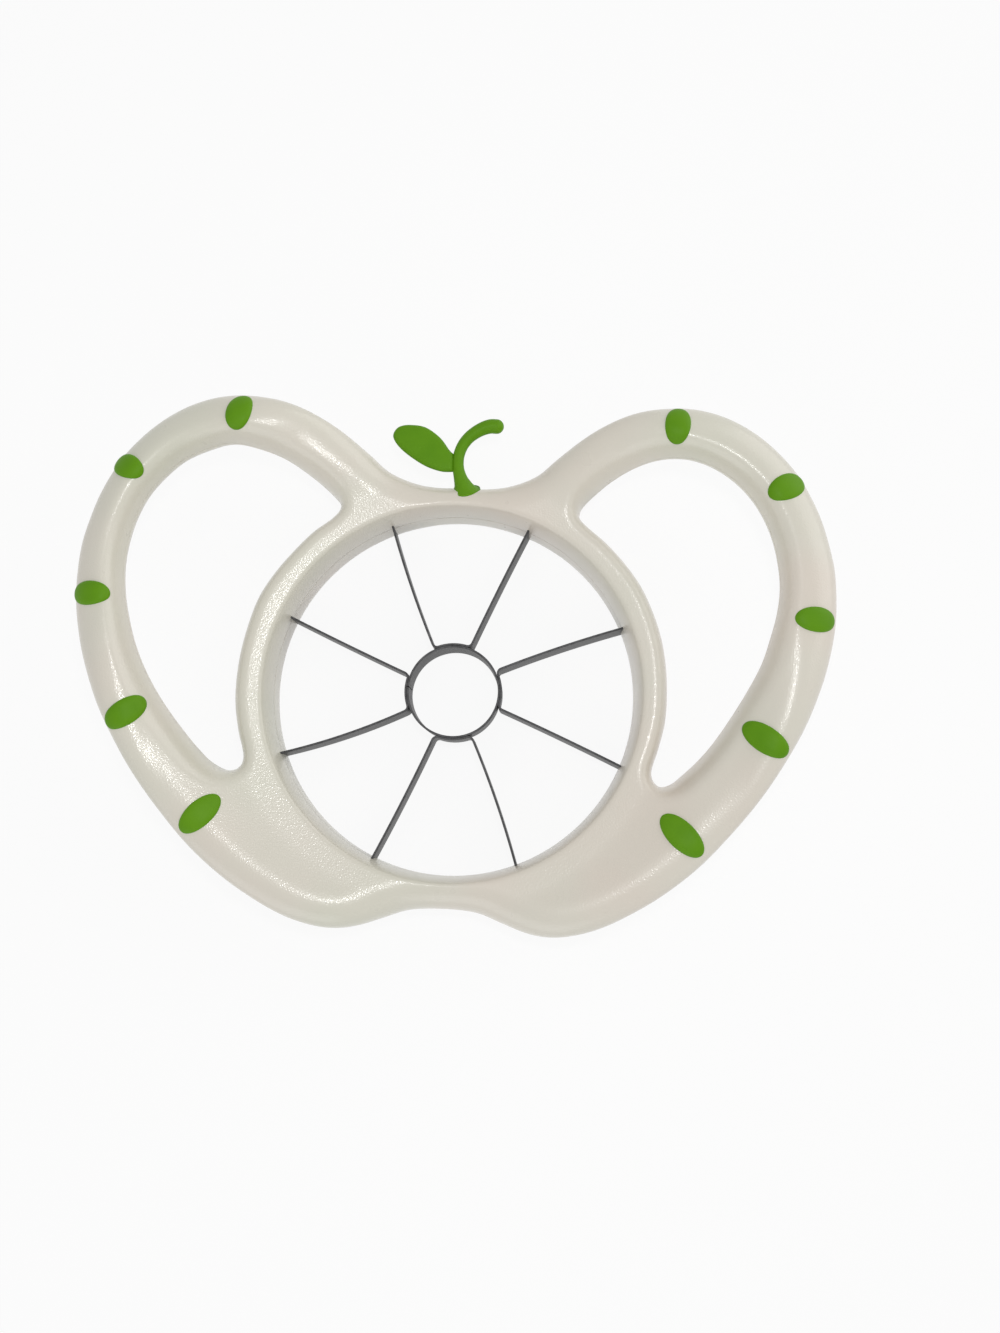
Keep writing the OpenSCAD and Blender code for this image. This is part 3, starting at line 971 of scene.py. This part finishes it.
def holder_material():
    """Plain matt plastic of the hidden ring that holds the blades."""
    material, tree, shader = new_material("holder_plastic")
    vary(tree, shader.inputs["Base Color"], noise(tree, scale=90.0, detail=3.0), [
        (0.3, (0.60, 0.585, 0.52, 1)),
        (0.7, (0.66, 0.64, 0.57, 1)),
    ])
    bump(tree, shader, noise(tree, scale=2600.0, detail=2.0), strength=0.2, distance=0.00005)
    shader.inputs["Roughness"].default_value = 0.55
    return material


def floor_material():
    """Pale, matt table, whiter to the camera than to the object."""
    material, tree, shader = new_material("floor")
    vary(tree, shader.inputs["Base Color"], noise(tree, scale=14.0, detail=3.0), [
        (0.3, grey(0.90)),
        (0.7, grey(0.915)),
    ])
    shader.inputs["Roughness"].default_value = 0.7
    shader.inputs["Specular IOR Level"].default_value = 0.1
    white = add_node(tree, "ShaderNodeEmission", Color=(1, 1, 1, 1), Strength=1.0)
    share = add_node(tree, "ShaderNodeMath", operation="MULTIPLY")
    share.inputs[1].default_value = FLOOR_WHITE
    tree.links.new(seen_directly(tree), share.inputs[0])
    mix = add_node(tree, "ShaderNodeMixShader")
    tree.links.new(share.outputs[0], mix.inputs["Fac"])
    tree.links.new(shader.outputs["BSDF"], mix.inputs[1])
    tree.links.new(white.outputs["Emission"], mix.inputs[2])
    output = next(n for n in tree.nodes if n.type == "OUTPUT_MATERIAL")
    tree.links.new(mix.outputs["Shader"], output.inputs["Surface"])
    return material


def seen_directly(tree):
    """One for rays from the camera and for those that gloss or glass sends on, else nought."""
    path = add_node(tree, "ShaderNodeLightPath")
    glossy = add_node(tree, "ShaderNodeMath", operation="MAXIMUM")
    tree.links.new(path.outputs["Is Camera Ray"], glossy.inputs[0])
    tree.links.new(path.outputs["Is Glossy Ray"], glossy.inputs[1])
    either = add_node(tree, "ShaderNodeMath", operation="MAXIMUM")
    tree.links.new(glossy.outputs[0], either.inputs[0])
    tree.links.new(path.outputs["Is Transmission Ray"], either.inputs[1])
    return either.outputs[0]


IVORY = ivory_material()
GREEN = green_material()
STEEL = steel_material()
# Painted dark reflection for the top faces of the blades and the core ring
TOP_PAINTED_DARK = top_painted_dark_material()
HOLDER = holder_material()


def dress(piece, material, replaced):
    """Gives a piece its material, hangs it on the root body and hides the nodes of the solids that it stands
    for.
    """
    piece.data.materials.clear()
    piece.data.materials.append(material)
    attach(piece, "root")
    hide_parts(*replaced)


# Stage, lights and camera, in metres

FLOOR_HALF = 3.0
# The floor lies a little below the object's foot, so that their faces don't fall together
FLOOR_DROP = 0.0002


def build_floor():
    side = FLOOR_HALF
    mesh = bpy.data.meshes.new("floor")
    corners = [(-side, -side, 0), (side, -side, 0), (side, side, 0), (-side, side, 0)]
    mesh.from_pydata(corners, [], [(0, 1, 2, 3)])
    floor = bpy.data.objects.new("floor", mesh)
    floor.location.z = -FLOOR_DROP
    bpy.context.scene.collection.objects.link(floor)
    mesh.materials.append(floor_material())


def area_light(name, towards, distance, size, power, colour):
    """A lamp in a direction from the ring's axis, turned to face it."""
    direction = Vector(towards).normalized()
    data = bpy.data.lights.new(name, "AREA")
    data.shape = "RECTANGLE"
    data.size = size[0]
    data.size_y = size[1]
    data.energy = power
    data.color = colour
    light = bpy.data.objects.new(name, data)
    light.location = direction * distance + Vector(RING_AT)
    light.rotation_euler = direction.to_track_quat("Z", "Y").to_euler()
    light.visible_camera = False
    bpy.context.scene.collection.objects.link(light)


def build_lights():
    """Two broad, low lamps and a small, weak one beside the camera."""
    area_light("key", towards=(0.76, 0.53, 0.39), distance=0.9, size=(0.9, 0.7),
               power=2.4, colour=(1, 0.99, 0.97))
    area_light("fill", towards=(-0.3, -0.87, 0.39), distance=0.9, size=(0.9, 0.7),
               power=1.8, colour=(0.98, 0.99, 1))
    area_light("near", towards=(0.028, 0.012, 0.262), distance=0.262, size=(0.025, 0.027),
               power=0.125, colour=(1, 1, 1))


def build_world():
    """A pale world that looks white where it is seen directly."""
    world = bpy.data.worlds.new("studio")
    bpy.context.scene.world = world
    world.use_nodes = True
    tree = world.node_tree
    back = next(n for n in tree.nodes if n.type == "BACKGROUND")
    back.inputs["Color"].default_value = (1, 1, 1, 1)
    strength = add_node(tree, "ShaderNodeMath", operation="MULTIPLY_ADD")
    strength.inputs[1].default_value = WORLD_WHITE - WORLD_LIGHT
    strength.inputs[2].default_value = WORLD_LIGHT
    tree.links.new(seen_directly(tree), strength.inputs[0])
    tree.links.new(strength.outputs[0], back.inputs["Strength"])


# The camera as fitted to the photo: focal length and picture height in pixels, place in
# millimetres from the ring's axis, and turns about X, Y and Z in radians
FOCAL_PX = 962.0
PHOTO_H = 1333.0
CAMERA_AT = (17.083, -26.508, 240.104)
CAMERA_TURNS = (-0.14346, 0.020566, 0.040597)
SENSOR_MM = 36.0
CLIP_START = 0.01


def turn(axis, angle):
    return np.array(Matrix.Rotation(angle, 3, axis))


def build_camera():
    rx, ry, roll = CAMERA_TURNS
    r = turn("X", rx) @ turn("Y", ry) @ turn("Z", roll) @ np.diag([1.0, -1.0, -1.0])
    axes = Matrix((r[0], -r[1], -r[2])).transposed()
    data = bpy.data.cameras.new("camera")
    data.sensor_fit = "VERTICAL"
    data.sensor_height = SENSOR_MM
    data.lens = FOCAL_PX / PHOTO_H * SENSOR_MM
    data.clip_start = CLIP_START
    camera = bpy.data.objects.new("camera", data)
    camera.matrix_world = Matrix.Translation(Vector(to_world(CAMERA_AT))) @ axes.to_4x4()
    bpy.context.scene.collection.objects.link(camera)
    bpy.context.scene.camera = camera


# Pieces of the object. The blade holder stays as the solid that the frame brings.

def build_frame():
    points, faces = frame_mesh()
    for name, node, side in (("frame_upper", "upper_shell", 1), ("frame_lower", "lower_shell", -1)):
        piece = mesh_object(name, *shell_mesh(points, faces, side))
        dress(piece, IVORY, [node])


def build_trim():
    for name, values in PADS.items():
        dress(mesh_object(name + "_pad", *pad_mesh(*values)), GREEN, [name])
    dress(mesh_object("stem_curl", *stem_mesh()), GREEN, ["stem"])
    dress(mesh_object("leaf_blade", *leaf_mesh()), GREEN, ["leaf"])


def paint_top_dark(piece):
    """Gives the flat top of a steel piece the material with the painted dark reflection."""
    piece.data.materials.append(TOP_PAINTED_DARK)
    # Faces near the top get the painted dark reflection
    top = to_world([0, 0, BLADE_HIGH - PAINTED_DARK_BAND])[2]
    for face in piece.data.polygons:
        if face.center.z > top:
            face.material_index = 1


def build_steel():
    for name, values in SPOKES.items():
        strip = mesh_object("strip_" + name, *strip_mesh(*values), sharp_deg=STEEL_SHARP_DEG)
        dress(strip, STEEL, ["blade_" + name])
        paint_top_dark(strip)
    tube = mesh_object("core_tube", *core_mesh(), sharp_deg=STEEL_SHARP_DEG)
    dress(tube, STEEL, ["core_ring"])
    paint_top_dark(tube)


def build_holder():
    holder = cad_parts["blade_holder"]
    holder.data.materials.clear()
    holder.data.materials.append(HOLDER)


bpy.context.scene.view_settings.view_transform = "Standard"
build_floor()
build_lights()
build_world()
build_camera()
build_frame()
build_trim()
build_steel()
build_holder()
